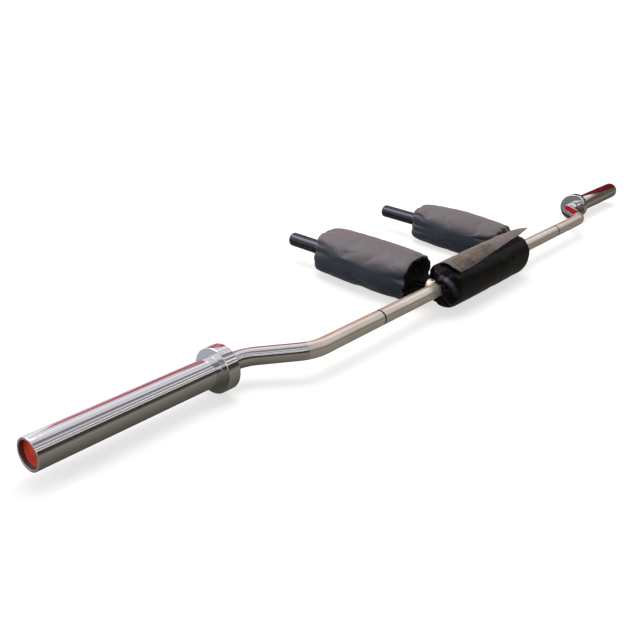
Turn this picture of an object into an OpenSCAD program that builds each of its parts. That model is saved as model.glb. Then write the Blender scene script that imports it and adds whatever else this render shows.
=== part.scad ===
// Safety squat bar: a bent steel shaft with two padded shoulder arms, a padded
// neck rest between them, and two plate sleeves that turn on bushings.
// Millimetres. X runs along the bar, Y from the neck rest towards the handles, Z up.
// The origin is on the floor, under the middle of the whole bar.

/* [Main shaft] */
// Diameter of the shaft
shaft_d = 32; // [30:0.5:34]
// Distance from the middle of the bar to the corner of the first bend
bend_x = 646; // [600:1:700]
// Centreline radius of the first bend
bend_r = 80; // [60:1:100]
// Distance from the middle of the bar to a hand mark groove
groove_x = 442; // [400:1:520]
// Width of a hand mark groove
groove_w = 3.6; // [1:0.1:4]
// Depth of a hand mark groove
groove_depth = 0.8; // [0.3:0.1:1]

/* [Cranks] */
// How far the sleeves lie in front of the shaft
sleeve_forward = 76; // [60:1:95]
// How far the sleeves lie below the shaft
sleeve_drop = 8; // [0:1:12]
// Angle between the shaft and a crank
crank_angle = 38; // [34:1:42]
// Centreline radius of the second bend
crank_bend_r = 70; // [55:1:85]
// Part of the first bend that belongs to the shaft
shaft_bend_share = 0.75; // [0.5:0.05:1]

/* [Sleeves] */
// Outer diameter of a sleeve
sleeve_d = 50; // [49.5:0.1:50.5]
// Wall of a sleeve
sleeve_wall = 4; // [3:0.25:5]
// Length of a sleeve that takes plates
sleeve_load = 334; // [250:1:420]
// Distance from the middle of the bar to the inner face of a collar
collar_x = 790; // [780:1:850]
// Outer diameter of a collar
collar_d = 79; // [72:1:90]
// Thickness of a collar
collar_t = 26; // [18:1:32]
// Diameter of the spindle inside a sleeve
spindle_d = 28; // [24:0.5:30]
// Radial running clearance of a bushing
bushing_clearance = 0.05; // [0.02:0.01:0.1]
// Length of a bushing
bushing_len = 40; // [20:1:60]
// Depth of the end cap inside the sleeve
cap_recess = 7; // [6:1:20]

/* [Arms and handles] */
// Distance from the middle of the bar to an arm
arm_x = 205; // [190:1:230]
// Outer diameter of an arm tube
arm_d = 28; // [25:0.5:30]
// Wall of an arm tube
arm_wall = 3; // [2:0.25:4]
// Distance from the shaft to the tip of a handle
arm_reach = 416; // [380:1:460]
// Outer diameter of a handle grip
grip_d = 33; // [30:0.5:38]
// Rounding of the handle tip
tip_round = 9; // [4:0.5:14]

/* [Pads] */
// Distance from the shaft to the near end of an arm pad
arm_pad_start = 52; // [45:1:70]
// Length of an arm pad
arm_pad_len = 258; // [220:1:270]
// Width of an arm pad
arm_pad_w = 112; // [90:1:120]
// Height of an arm pad before it is pressed flat
arm_pad_h = 107; // [100:1:112]
// Length of the neck pad
neck_pad_len = 350; // [300:1:370]
// Shift of the neck pad towards the left sleeve
neck_pad_shift = 8; // [0:1:15]
// Depth of the neck pad from front to back
neck_pad_w = 100; // [84:1:104]
// Height of the neck pad before it is pressed flat
neck_pad_h = 104; // [92:1:110]
// Thickness of a quilted cover
cover_t = 2.5; // [2:0.1:3]

/* [Closing flap] */
// Length of the flap
flap_len = 374; // [330:1:390]
// Width of the flap measured straight across
flap_w = 53; // [40:1:60]
// Distance from the shaft forward to the sewn edge of the flap
flap_hinge_y = 20; // [10:1:26]

/* [Hidden] */
// Smooth circle for metal
$fn = 96;
// Points around a pad
PAD_SEG = 32;
// Swell of the bar in a bend, and the length that a straight runs on into it
BEND_SWELL = 0.05;
BEND_LAP = 1;
// Exponents of the pad sections, where 2 is an ellipse and more is boxier
ARM_SECTION = 3;
NECK_SECTION = 2.3;
// Share of the section that a pad loses from its middle to its ends
ARM_CROWN = 0.08;
NECK_CROWN = 0.05;
// Depth of the flat that the pads are pressed to where they lie on the floor
FLOOR_FLAT = 0.5;
// Space between a cover and its foam, and between foam and steel
FOAM_GAP = 0.2;
// Height of a gathered pleat, as a share of the radius
PLEAT = 0.03;
// End of a cover: how far in from the end, share of the way from hole to rim, pleat share
COVER_END = [[8, 0, 0], [3, 0.28, 0.5], [0, 0.6, 1], [3, 0.82, 1],
             [11, 0.93, 0.7], [24, 0.985, 0.3], [44, 1, 0]];
// End of the foam under the cover, in the same terms
FOAM_END = [[8, 0, 0], [1, 0.56, 0], [14, 0.92, 0], [44, 1, 0]];
// Layers of the closure: loop tape, hook tape and flap, as heights above the pad
LOOP_LAYER = [0.15, 1.2];
HOOK_LAYER = [1.5, 2.5];
FLAP_LAYER = [2.8, 4.4];
// Width of the hook and loop tapes, and their distance from the free edge of the flap
TAPE_W = 20;
TAPE_INSET = 6;
// Rise of the loose corner at the far end of the flap, and its length
TIP_RISE = 6;
TIP_LEN = 80;

shaft_r = shaft_d / 2;
sleeve_r = sleeve_d / 2;
bore_r = sleeve_r - sleeve_wall;
collar_seat_r = sleeve_r - 1;
spindle_r = spindle_d / 2;
arm_r = arm_d / 2;
grip_r = grip_d / 2;
// Plane of a crank: offset of the sleeve axis and turn about the shaft
crank_offset = norm([sleeve_forward, sleeve_drop]);
crank_turn = -atan2(sleeve_drop, sleeve_forward);
crank_run = crank_offset / tan(crank_angle);
// Straight length that each bend takes from its corner
bend_tangent = bend_r * tan(crank_angle / 2);
crank_tangent = crank_bend_r * tan(crank_angle / 2);
crank_straight = crank_offset / sin(crank_angle) - bend_tangent - crank_tangent;
crank_end_x = bend_x + crank_run + crank_tangent;
shaft_bend = crank_angle * shaft_bend_share;
// Stations along a sleeve, measured from the middle of the bar
lip_t = 3;
side_play = 0.3;
washer_t = 2;
washer_r = bore_r - 1;
shoulder_x = collar_x + lip_t + 2;
inner_bushing_x = shoulder_x + washer_t + side_play;
sleeve_end_x = collar_x + collar_t + sleeve_load;
cap_t = 4;
cap_x = sleeve_end_x - cap_recess - cap_t;
spindle_end_x = cap_x - 16;
ring_t = 1.8;
ring_x = spindle_end_x - 6 - ring_t;
outer_washer_x = ring_x - 0.1 - washer_t;
outer_bushing_x = outer_washer_x - side_play - bushing_len;
ring_groove_r = spindle_r - 1;
// Place of the shaft axis above the floor and behind the middle of the bar
floor_z = -(neck_pad_h / 2 - FLOOR_FLAT);
arm_pad_z = arm_pad_h / 2 - neck_pad_h / 2;
shaft_z = -floor_z;
shaft_y = -(arm_reach - neck_pad_w / 2) / 2;
grip_start = arm_pad_start + arm_pad_len - 3;
arm_hole_r = arm_r + 0.2;
neck_hole_r = shaft_r + 0.25;
neck_start = -neck_pad_len / 2 - neck_pad_shift;
flap_start = -flap_len / 2 - neck_pad_shift / 2;

SIDES = ["left", "right"];

// Puts what is built around the shaft axis in its place over the floor
module on_shaft() { translate([0, shaft_y, shaft_z]) children(); }

// One side of the bar: the right side as built, the left side mirrored
module on_side(side) { on_shaft() mirror([side == "left" ? 1 : 0, 0, 0]) children(); }

// Turns the flat bent centreline into the plane of the crank
module crank_plane() { rotate([crank_turn, 0, 0]) children(); }

// Round bar along X
module x_bar(x0, x1, r) { translate([x0, 0, 0]) rotate([0, 90, 0]) cylinder(h = x1 - x0, r = r); }

// Round bar along Y
module y_bar(y0, y1, r) { translate([0, y0, 0]) rotate([-90, 0, 0]) cylinder(h = y1 - y0, r = r); }

// Ring along X
module x_ring(x0, x1, r_in, r_out) {
    difference() {
        x_bar(x0, x1, r_out);
        x_bar(x0 - 1, x1 + 1, r_in);
    }
}

// Ring of the sleeve's own axis, on the given side
module sleeve_ring(side, x0, x1, r_in, r_out) {
    on_side(side) crank_plane() translate([0, crank_offset, 0]) x_ring(x0, x1, r_in, r_out);
}

// Bent bar: a piece of a turn about a centre in the XY plane, swollen a hair by the bending
module bend(centre, r, from, angle) {
    translate(concat(centre, [0])) rotate([0, 0, from])
        rotate_extrude(angle = angle) translate([r, 0]) circle(r = shaft_r + BEND_SWELL);
}

// The shaft's share of one bend
module shaft_bend_end() {
    crank_plane() bend([bend_x - bend_tangent, bend_r], bend_r, -90, shaft_bend);
}

module centre_shaft() {
    color("#cfccc0") on_shaft() {
        difference() {
            x_bar(-(bend_x - bend_tangent) - BEND_LAP, bend_x - bend_tangent + BEND_LAP, shaft_r);
            for (side = [-1, 1]) translate([side * groove_x, 0, 0])
                x_ring(-groove_w / 2, groove_w / 2, shaft_r - groove_depth, shaft_r + 1);
        }
        shaft_bend_end();
        mirror([1, 0, 0]) shaft_bend_end();
    }
}

// Crank: the rest of the first bend, a straight, the second bend and the turned spindle
module crank(side) {
    start = [bend_x - bend_tangent, bend_r];
    turned = start + bend_r * [sin(crank_angle), -cos(crank_angle)];
    color("#b9bcc0") on_side(side) crank_plane() {
        bend(start, bend_r, shaft_bend - 90, crank_angle - shaft_bend);
        translate(concat(turned, [0])) rotate([0, 0, crank_angle])
            x_bar(-BEND_LAP, crank_straight + BEND_LAP, shaft_r);
        bend([crank_end_x, crank_offset - crank_bend_r], crank_bend_r, 90, crank_angle);
        translate([0, crank_offset, 0]) {
            x_bar(crank_end_x - BEND_LAP, shoulder_x, shaft_r);
            difference() {
                x_bar(shoulder_x - BEND_LAP, spindle_end_x, spindle_r);
                x_ring(ring_x - 0.1, ring_x + ring_t + 0.1, ring_groove_r, spindle_r + 1);
            }
        }
    }
}

// Sleeve: a tube for the plates, stepped down where the collar is pressed on
module sleeve(side) {
    edge = 1;
    len = sleeve_end_x - collar_x - lip_t;
    step = collar_t - lip_t;
    color("#c4c7ca") on_side(side) crank_plane() translate([collar_x + lip_t, crank_offset, 0])
        rotate([0, 90, 0]) rotate_extrude()
            polygon([[bore_r, 0], [collar_seat_r, 0], [collar_seat_r, step], [sleeve_r, step],
                     [sleeve_r, len - edge], [sleeve_r - edge, len], [bore_r + edge, len],
                     [bore_r, len - edge]]);
}

// Collar: a thick disc with a lip that closes the inner end of the sleeve round the crank
module collar(side) {
    edge = 1.5;
    rim = collar_d / 2;
    color("#c4c7ca") on_side(side) crank_plane() translate([collar_x, crank_offset, 0])
        rotate([0, 90, 0]) rotate_extrude()
            polygon([[shaft_r + 0.6, 0], [rim - edge, 0], [rim, edge], [rim, collar_t - edge],
                     [rim - edge, collar_t], [collar_seat_r, collar_t], [collar_seat_r, lip_t],
                     [shaft_r + 0.6, lip_t]]);
}

module bushing(side, x0) {
    color("#b08a4e") sleeve_ring(side, x0, x0 + bushing_len, spindle_r + bushing_clearance, bore_r);
}

module washer(side, x0) {
    color("#8f9499") sleeve_ring(side, x0, x0 + washer_t, spindle_r, washer_r);
}

module retaining_ring(side) {
    color("#3c3f43") sleeve_ring(side, ring_x, ring_x + ring_t, ring_groove_r, spindle_r + 4);
}

// End cap: a red disc with a raised rim, pressed into the sleeve
module end_cap(side) {
    rim = 2.5;
    color("#b8261c") on_side(side) crank_plane() translate([0, crank_offset, 0]) difference() {
        x_bar(cap_x, cap_x + cap_t, bore_r);
        x_bar(cap_x + cap_t - 1.2, cap_x + cap_t + 1, bore_r - rim);
    }
}

// Arm tube: fitted round the shaft at one end, closed by the grip at the other
module arm_tube(side) {
    color("#cfccc0") on_side(side) translate([arm_x, 0, 0]) difference() {
        y_bar(0, arm_reach - 6, arm_r);
        y_bar(shaft_r + 6, arm_reach - 5, arm_r - arm_wall);
        x_bar(-arm_d, arm_d, shaft_r);
    }
}

// Fillet weld where the arm meets the shaft
module arm_weld(side) {
    bead = 6;
    color("#c9c3b2") on_side(side) translate([arm_x, 0, 0]) difference() {
        translate([0, 4, 0]) rotate([-90, 0, 0])
            cylinder(h = shaft_r + bead - 4, r1 = arm_r + bead + 3, r2 = arm_r + 0.5);
        y_bar(0, arm_reach, arm_r);
        x_bar(-2 * arm_d, 2 * arm_d, shaft_r);
    }
}

// Handle grip: a moulded sleeve with a rounded closed end
module handle_grip(side) {
    len = arm_reach - grip_start;
    color("#2d3036") on_side(side) translate([arm_x, grip_start, 0]) difference() {
        rotate([-90, 0, 0]) rotate_extrude() {
            square([grip_r, len - tip_round]);
            square([grip_r - tip_round, len]);
            translate([grip_r - tip_round, len - tip_round]) intersection() {
                circle(r = tip_round);
                square(tip_round);
            }
        }
        y_bar(-1, len - 6, arm_r);
    }
}

// Point at angle a on a rounded box section with half sizes w and h
function section_point(a, w, h, n) =
    [w * sign(cos(a)) * pow(abs(cos(a)), 2 / n), h * sign(sin(a)) * pow(abs(sin(a)), 2 / n)];

// Share of the full section left at a station q from 0 to 1 along a pad
function crown_at(q, crown) = 1 - crown * pow(2 * min(max(q, 0), 1) - 1, 2);

// One ring of a pad: station u, share k from hole to rim, pleat share p. The hole stays on
// the tube, and only the full section is raised by z0
function pad_ring(u, k, p, size, n, crown, hole, z0) = [
    for (i = [0:PAD_SEG - 1])
        let (a = 360 * i / PAD_SEG,
             fold = 1 + PLEAT * p * (i % 2 == 0 ? 1 : -1),
             full = section_point(a, size[1] / 2, size[2] / 2, n) * crown_at(u / size[0], crown),
             s = (hole * (1 - k) * [cos(a), sin(a)] + k * full) * (k > 0 ? fold : 1))
        [s[0], max(k * z0 + s[1], floor_z), u]];

// Rings from one end of a pad to the other; extra stations fill the middle
function pad_rings(profile, shrink, size, n, crown, hole, z0) =
    let (len = size[0],
         inner = size - [0, 2 * shrink, 2 * shrink],
         last = len(profile) - 1)
    concat(
        [for (e = profile) pad_ring(e[0] + shrink, e[1], e[2], inner, n, crown, hole, z0)],
        [for (q = [0.33, 0.5, 0.67]) pad_ring(q * len, 1, 0, inner, n, crown, hole, z0)],
        [for (i = [last:-1:0]) let (e = profile[i])
            pad_ring(len - e[0] - shrink, e[1], e[2], inner, n, crown, hole, z0)]);

// Triangles of a closed band: rings joined each to the next, and the last to the first
function band_faces(count, seg) = [
    for (j = [0:count - 1]) for (i = [0:seg - 1])
        let (a = j * seg + i, b = j * seg + (i + 1) % seg,
             c = ((j + 1) % count) * seg + i, d = ((j + 1) % count) * seg + (i + 1) % seg)
        each [[a, c, d], [a, d, b]]];

// Solid between rings, laid along the shaft or along an arm
module band_solid(rings, along_shaft) {
    flat = [for (ring = rings) each ring];
    polyhedron([for (p = flat) along_shaft ? [p[2], p[0], p[1]] : [-p[0], p[2], p[1]]],
               band_faces(len(rings), len(rings[0])));
}

// Cover: outer skin over the whole pad, then back along the lining
module pad_cover(size, n, crown, hole, z0, along_shaft) {
    outside = pad_rings(COVER_END, 0, size, n, crown, hole, z0);
    lining = pad_rings(FOAM_END, cover_t, size, n, crown, hole, z0);
    back = [for (i = [len(lining) - 1:-1:0]) [for (p = lining[i])
        [p[0], max(p[1], floor_z + cover_t), p[2]]]];
    band_solid(concat(outside, back), along_shaft);
}

// Foam: what the lining holds, less a small gap, round the tube
module pad_foam(size, n, crown, hole, z0, along_shaft) {
    body = pad_rings(FOAM_END, cover_t + FOAM_GAP, size, n, crown, hole, z0);
    band_solid([for (ring = body) [for (p = ring)
        [p[0], max(p[1], floor_z + cover_t + FOAM_GAP), p[2]]]], along_shaft);
}

ARM_SIZE = [arm_pad_len, arm_pad_w, arm_pad_h];
NECK_SIZE = [neck_pad_len, neck_pad_w, neck_pad_h];

module on_arm(side) { on_side(side) translate([arm_x, arm_pad_start, 0]) children(); }
module on_neck() { on_shaft() translate([neck_start, 0, 0]) children(); }

module arm_pad_foam(side) {
    color("#e3dcc8") on_arm(side)
        pad_foam(ARM_SIZE, ARM_SECTION, ARM_CROWN, arm_hole_r, arm_pad_z, false);
}

module arm_pad_cover(side) {
    color("#3c3d44") on_arm(side)
        pad_cover(ARM_SIZE, ARM_SECTION, ARM_CROWN, arm_hole_r, arm_pad_z, false);
}

module neck_pad_foam() {
    color("#e3dcc8") on_neck()
        pad_foam(NECK_SIZE, NECK_SECTION, NECK_CROWN, neck_hole_r, 0, true);
}

module neck_pad_cover() {
    color("#1d1d20") on_neck()
        pad_cover(NECK_SIZE, NECK_SECTION, NECK_CROWN, neck_hole_r, 0, true);
}

// Elastic that draws a hem in round a tube, centred on the X or Y axis
module elastic(r, thick) { rotate_extrude() translate([r + thick, 0]) circle(r = thick, $fn = 24); }

module arm_hem_elastic(side) {
    thick = 1.4;
    color("#151517") on_arm(side)
        for (u = [4.6, arm_pad_len - 4.6])
            translate([0, u, 0]) rotate([-90, 0, 0]) elastic(arm_r + 0.05, thick);
}

module neck_hem_elastic() {
    thick = 1.4;
    color("#151517") on_neck()
        for (u = [4.6, neck_pad_len - 4.6])
            translate([u, 0, 0]) rotate([0, 90, 0]) elastic(shaft_r + 0.05, thick);
}

// Point above the neck pad's skin at x and y, h above it along the normal
function over_neck(x, y, h) =
    let (c = crown_at((x - neck_start) / neck_pad_len, NECK_CROWN),
         w = c * neck_pad_w / 2, t = c * neck_pad_h / 2, n = NECK_SECTION,
         z = t * pow(1 - pow(abs(y) / w, n), 1 / n),
         g = [sign(y) * pow(abs(y) / w, n - 1) / w, pow(z / t, n - 1) / t])
    [x, y + h * g[0] / norm(g), z + h * g[1] / norm(g)];

// Rise of the loose corner of the flap
function tip_rise(x, y) =
    let (along = max(0, (x - flap_start - flap_len + TIP_LEN) / TIP_LEN),
         across = max(0, (flap_hinge_y - y) / flap_w))
    TIP_RISE * along * along * across;

// Sheet that lies over the neck pad between two stations and two distances across
module neck_sheet(x0, x1, y0, y1, layer, steps_x, steps_y, rise) {
    xs = [for (i = [0:steps_x]) x0 + (x1 - x0) * i / steps_x];
    ys = [for (j = [0:steps_y]) y0 + (y1 - y0) * j / steps_y];
    rings = [for (x = xs) concat(
        [for (y = ys) over_neck(x, y, layer[0] + rise * tip_rise(x, y))],
        [for (j = [steps_y:-1:0]) over_neck(x, ys[j], layer[1] + rise * tip_rise(x, ys[j]))])];
    seg = 2 * (steps_y + 1);
    last = steps_x * seg;
    sides = [for (j = [0:steps_x - 1]) for (i = [0:seg - 1])
        let (a = j * seg + i, b = j * seg + (i + 1) % seg, c = a + seg, d = b + seg)
        each [[a, d, c], [a, b, d]]];
    ends = [for (i = [0:steps_y - 1])
        let (a = i, b = i + 1, c = seg - 2 - i, d = seg - 1 - i)
        each [[a, c, b], [a, d, c], [last + a, last + b, last + c], [last + a, last + c, last + d]]];
    polyhedron([for (ring = rings) each ring], concat(sides, ends));
}

tape_far_y = flap_hinge_y - flap_w + TAPE_INSET;

module loop_tape() {
    color("#191a1c") on_shaft() neck_sheet(flap_start + 24, flap_start + flap_len - 44,
        tape_far_y + TAPE_W, tape_far_y, LOOP_LAYER, 8, 4, 0);
}

module hook_tape() {
    color("#2a2a2c") on_shaft() neck_sheet(flap_start + 24, flap_start + flap_len - TIP_LEN - 4,
        tape_far_y + TAPE_W, tape_far_y, HOOK_LAYER, 8, 4, 0);
}

module neck_flap() {
    color("#5f5652") on_shaft() neck_sheet(flap_start, flap_start + flap_len,
        flap_hinge_y, flap_hinge_y - flap_w, FLAP_LAYER, 12, 8, 1);
}

centre_shaft();
for (side = SIDES) {
    crank(side);
    sleeve(side);
    collar(side);
    bushing(side, inner_bushing_x);
    bushing(side, outer_bushing_x);
    washer(side, shoulder_x);
    washer(side, outer_washer_x);
    retaining_ring(side);
    end_cap(side);
    arm_tube(side);
    arm_weld(side);
    handle_grip(side);
    arm_pad_foam(side);
    arm_pad_cover(side);
    arm_hem_elastic(side);
}
neck_pad_foam();
neck_pad_cover();
neck_hem_elastic();
loop_tape();
hook_tape();
neck_flap();
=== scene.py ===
# %% [markdown]
# # A safety squat bar in Blender
# The bar is a bent steel shaft with two padded shoulder arms, a padded neck rest and two
# polished plate sleeves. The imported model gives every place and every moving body. This
# script gives the bar its surfaces: lathed and swept metal, simulated covers, a closing
# flap with lint on it, and the light that polished steel needs to look like steel.

# %% Load the frame
import math
import random

import bmesh
import bpy
import numpy as np
from mathutils import Matrix, Vector, noise
from mathutils.bvhtree import BVHTree


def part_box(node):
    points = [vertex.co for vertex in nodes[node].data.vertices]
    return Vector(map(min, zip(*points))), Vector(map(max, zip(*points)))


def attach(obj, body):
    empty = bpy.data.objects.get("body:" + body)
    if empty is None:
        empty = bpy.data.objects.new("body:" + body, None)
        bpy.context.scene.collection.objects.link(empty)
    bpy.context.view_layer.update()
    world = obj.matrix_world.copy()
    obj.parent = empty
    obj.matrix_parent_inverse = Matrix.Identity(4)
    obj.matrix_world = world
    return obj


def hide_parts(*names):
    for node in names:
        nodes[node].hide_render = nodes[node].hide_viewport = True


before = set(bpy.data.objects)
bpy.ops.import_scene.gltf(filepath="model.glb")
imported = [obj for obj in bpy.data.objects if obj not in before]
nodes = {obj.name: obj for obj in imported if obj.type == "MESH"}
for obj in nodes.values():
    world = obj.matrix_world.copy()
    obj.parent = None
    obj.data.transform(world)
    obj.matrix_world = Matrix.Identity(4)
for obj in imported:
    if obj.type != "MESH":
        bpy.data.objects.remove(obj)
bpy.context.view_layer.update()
MM = 0.001
SIDES = {"left": -1, "right": 1}

# %% [markdown]
# ## Main places, read from the frame
# A fitter measures from the shaft axis, so the script does too. The arm tubes lie at the
# height of the shaft axis, and each sleeve's own box is centred on the sleeve's axis.

# %% Main places
SHAFT_R = 16 * MM
ARM_R = 14 * MM


def centre(node):
    low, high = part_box(node)
    return (low + high) / 2


AXIS_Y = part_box("centre_shaft")[0].y + SHAFT_R
AXIS_Z = centre("arm_tube_left").z
ARM_X = centre("arm_tube_right").x
sleeve_low, sleeve_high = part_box("sleeve_right")
SLEEVE_Y, SLEEVE_Z = centre("sleeve_right").y, centre("sleeve_right").z
SLEEVE_R = (sleeve_high.z - sleeve_low.z) / 2
print("shaft axis", round(AXIS_Y, 4), round(AXIS_Z, 4), "sleeve radius", round(SLEEVE_R, 4))

# %% [markdown]
# ## The camera
# The photograph was taken from beyond the left sleeve, looking down along the bar, which
# fills the frame from corner to corner. The camera's place, aim and small roll were solved
# from the bar's own edges, so they are written here as plain metres and degrees.

# %% Camera
CAMERA_FROM_SHAFT = Vector((-1.6016, -0.6871, 0.5862))
CAMERA_AZIMUTH = math.radians(35.47)
CAMERA_DOWN = math.radians(24.15)
CAMERA_ROLL = math.radians(5.56)


def placed(name, data):
    """Adds an object at the origin to the scene."""
    thing = bpy.data.objects.new(name, data)
    bpy.context.scene.collection.objects.link(thing)
    return thing


aim = Vector((math.cos(CAMERA_DOWN) * math.cos(CAMERA_AZIMUTH),
              math.cos(CAMERA_DOWN) * math.sin(CAMERA_AZIMUTH),
              -math.sin(CAMERA_DOWN)))
camera_data = bpy.data.cameras.new("camera")
camera_data.lens = 42.75
camera_data.sensor_width = 36
camera_data.clip_start = 0.01
camera = placed("camera", camera_data)
camera.matrix_world = (Matrix.Translation(Vector((0, AXIS_Y, AXIS_Z)) + CAMERA_FROM_SHAFT)
                       @ aim.to_track_quat("-Z", "Y").to_matrix().to_4x4()
                       @ Matrix.Rotation(CAMERA_ROLL, 4, "Z"))
bpy.context.scene.camera = camera

# %% [markdown]
# ## Small helpers for materials
# A material is a little network. One function adds a node, sets its values, links its inputs
# and colours its stops where it is a ramp. Another dresses the shader. So each material below
# reads as a short list of what it is made of.

# %% Material helpers


def linear(hex_colour):
    """Linear colour with alpha from an sRGB hex value."""
    value = hex_colour.lstrip("#")
    parts = [int(value[i:i + 2], 16) / 255 for i in (0, 2, 4)]
    parts = [c / 12.92 if c <= 0.04045 else ((c + 0.055) / 1.055) ** 2.4 for c in parts]
    return (*parts, 1)


def add(tree, kind, values=None, links=None, stops=(), **settings):
    """Adds a node; values and links are keyed by input, stops are a ramp's hex colours."""
    node = tree.nodes.new(kind)
    for key, value in settings.items():
        setattr(node, key, value)
    for key, value in (values or {}).items():
        node.inputs[key].default_value = value
    for key, socket in (links or {}).items():
        tree.links.new(socket, node.inputs[key])
    for number, (position, colour) in enumerate(stops):
        elements = node.color_ramp.elements
        element = elements[number] if number < 2 else elements.new(position)
        element.position = position
        element.color = linear(colour)
    return node


def new_material(name, sockets):
    """A Principled material with the given sockets set; returns it, its tree and shader."""
    material = bpy.data.materials.new(name)
    material.use_nodes = True
    shader = material.node_tree.nodes["Principled BSDF"]
    for key, value in sockets.items():
        shader.inputs[key].default_value = value
    return material, material.node_tree, shader


def dress(tree, shader, colour=None, rough=None, relief=None):
    """Links a colour, a roughness (pattern, low, high) and a relief (height, strength, depth)."""
    if colour is not None:
        tree.links.new(colour, shader.inputs["Base Color"])
    if rough is not None:
        pattern, low, high = rough
        spread = add(tree, "ShaderNodeMapRange", {"To Min": low, "To Max": high},
                     {"Value": pattern})
        tree.links.new(spread.outputs["Result"], shader.inputs["Roughness"])
    if relief is not None:
        height, strength, depth = relief
        raised = add(tree, "ShaderNodeBump", {"Strength": strength, "Distance": depth},
                     {"Height": height})
        tree.links.new(raised.outputs["Normal"], shader.inputs["Normal"])


def scaled(tree, scale):
    """Object coordinates in metres, stretched by scale along each axis."""
    coords = add(tree, "ShaderNodeTexCoord")
    return add(tree, "ShaderNodeMapping", {"Scale": scale},
               {"Vector": coords.outputs["Object"]}).outputs["Vector"]


# %% [markdown]
# ## Metals
# Hard chrome over a ground tube is nearly a mirror. What tells the eye that it is real is
# small: faint grinding rings round the tube and a slight haze where plates have slid. The
# shaft is satin nickel, brushed round and round, so its grain is fine rings about the axis,
# and it spreads every reflection into a soft cream band.

# %% Metals


def polished_chrome():
    material, tree, shader = new_material(
        "hard_chrome_on_ground_steel", {"Base Color": linear("#e3e3e5"), "Metallic": 1})
    rings = add(tree, "ShaderNodeTexNoise", {"Scale": 1, "Detail": 3},
                {"Vector": scaled(tree, (900, 12, 12))})
    haze = add(tree, "ShaderNodeTexNoise", {"Scale": 1, "Detail": 5, "Roughness": 0.6},
               {"Vector": scaled(tree, (14, 45, 45))})
    both = add(tree, "ShaderNodeMath", links={0: rings.outputs["Fac"], 1: haze.outputs["Fac"]},
               operation="MULTIPLY")
    dress(tree, shader, rough=(both.outputs["Value"], 0.05, 0.2))
    return material


def satin_nickel():
    material, tree, shader = new_material(
        "satin_nickel_plate_brushed_round", {"Metallic": 0.68})
    rings = add(tree, "ShaderNodeTexNoise", {"Scale": 1, "Detail": 4, "Roughness": 0.7},
                {"Vector": scaled(tree, (1400, 18, 18))}).outputs["Fac"]
    cloud = add(tree, "ShaderNodeTexNoise", {"Scale": 1, "Detail": 4},
                {"Vector": scaled(tree, (9, 40, 40))}).outputs["Fac"]
    colour = add(tree, "ShaderNodeValToRGB", links={"Fac": cloud},
                 stops=[(0.3, "#e2dccb"), (0.7, "#f2eee2")]).outputs["Color"]
    dress(tree, shader, colour, (rings, 0.14, 0.32), (rings, 0.12, 0.06 * MM))
    return material


def plain_metal(name, colour, roughness):
    material, tree, shader = new_material(name, {"Base Color": linear(colour), "Metallic": 1})
    grain = add(tree, "ShaderNodeTexNoise", {"Scale": 900, "Detail": 3},
                {"Vector": scaled(tree, (1, 1, 1))}).outputs["Fac"]
    dress(tree, shader, None, (grain, roughness - 0.08, roughness + 0.08),
          (grain, 0.1, 0.05 * MM))
    return material


chrome = polished_chrome()
nickel = satin_nickel()
weld_steel = plain_metal("plated_weld_bead", "#ebdfa6", 0.2)
bronze = plain_metal("sintered_bronze", "#b08a4e", 0.4)
spring_steel = plain_metal("oiled_spring_steel", "#4a4d52", 0.35)
bore_steel = plain_metal("drawn_tube_bore", "#71756d", 0.5)
# The ring groove's dark colour is painted shade in the groove.
groove_painted_shade = plain_metal("darkened_ring_groove", "#1d1915", 0.5)

# %% [markdown]
# ## Plastics and rubber
# The end caps are moulded red plastic, glossy and a little uneven. The grips are dipped
# vinyl, almost black with a slate tint, with a soft orange-peel surface from the dipping.

# %% Plastics


def mottled_plastic(name, stops, roughness, grain, depth):
    material, tree, shader = new_material(name, {"Specular IOR Level": 0.5})
    mottle_and_painted_highlight = add(tree, "ShaderNodeTexNoise", {"Scale": grain / 4, "Detail": 5},
               {"Vector": scaled(tree, (1, 1, 1))}).outputs["Fac"]
    peel = add(tree, "ShaderNodeTexNoise", {"Scale": grain, "Detail": 3},
               {"Vector": scaled(tree, (1, 1, 1))}).outputs["Fac"]
    colour = add(tree, "ShaderNodeValToRGB", links={"Fac": mottle_and_painted_highlight}, stops=stops).outputs["Color"]
    dress(tree, shader, colour, (mottle_and_painted_highlight, roughness - 0.06, roughness + 0.08),
          (peel, 0.25, depth))
    return material


cap_red = mottled_plastic("moulded_abs_red", [(0.3, "#cf2a16"), (0.7, "#f7573c")],
                          0.3, 180, 0.3 * MM)
grip_vinyl = mottled_plastic("dipped_vinyl_grip", [(0.35, "#12141a"), (0.7, "#20232b")],
                             0.22, 420, 0.1 * MM)

# %% [markdown]
# ## Fabrics
# The covers are coated nylon, a plain weave whose real threads are 0.6 mm apart. They are
# drawn 1.5 mm apart here, as fine as the render can show. Raised threads catch the light at
# grazing angles, which is why the lit tops look grey and the sides nearly black, and sheen
# gives part of that. The rest is painted top light: a share of a pale colour follows the
# normal upwards. An attribute of the mesh marks a tuck, whose gloss is a painted highlight
# of slate colour. The flap is brushed fabric that holds grey-brown lint, rougher and paler.

# %% Fabrics
WEAVE_PITCH = 1.5 * MM
# Slate colour of the tuck's painted highlight.
TUCK_PAINTED_HIGHLIGHT = "#5c596e"
# One wave of the wave texture is this many metres long at a scale of one.
WAVE_LENGTH = 0.314


def weave(tree, pitch):
    """Height of a plain weave: crossed waves over Object coordinates."""
    heights = []
    for direction in ("X", "Y", "Z"):
        wave = add(tree, "ShaderNodeTexWave", {"Scale": 1, "Distortion": 0.6, "Detail": 1},
                   {"Vector": scaled(tree, (WAVE_LENGTH / pitch,) * 3)},
                   bands_direction=direction)
        heights.append(wave.outputs["Fac"])
    first = add(tree, "ShaderNodeMath", links={0: heights[0], 1: heights[1]},
                operation="MULTIPLY")
    second = add(tree, "ShaderNodeMath", links={0: first.outputs["Value"], 1: heights[2]},
                 operation="ADD")
    return second.outputs["Value"]


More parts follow.
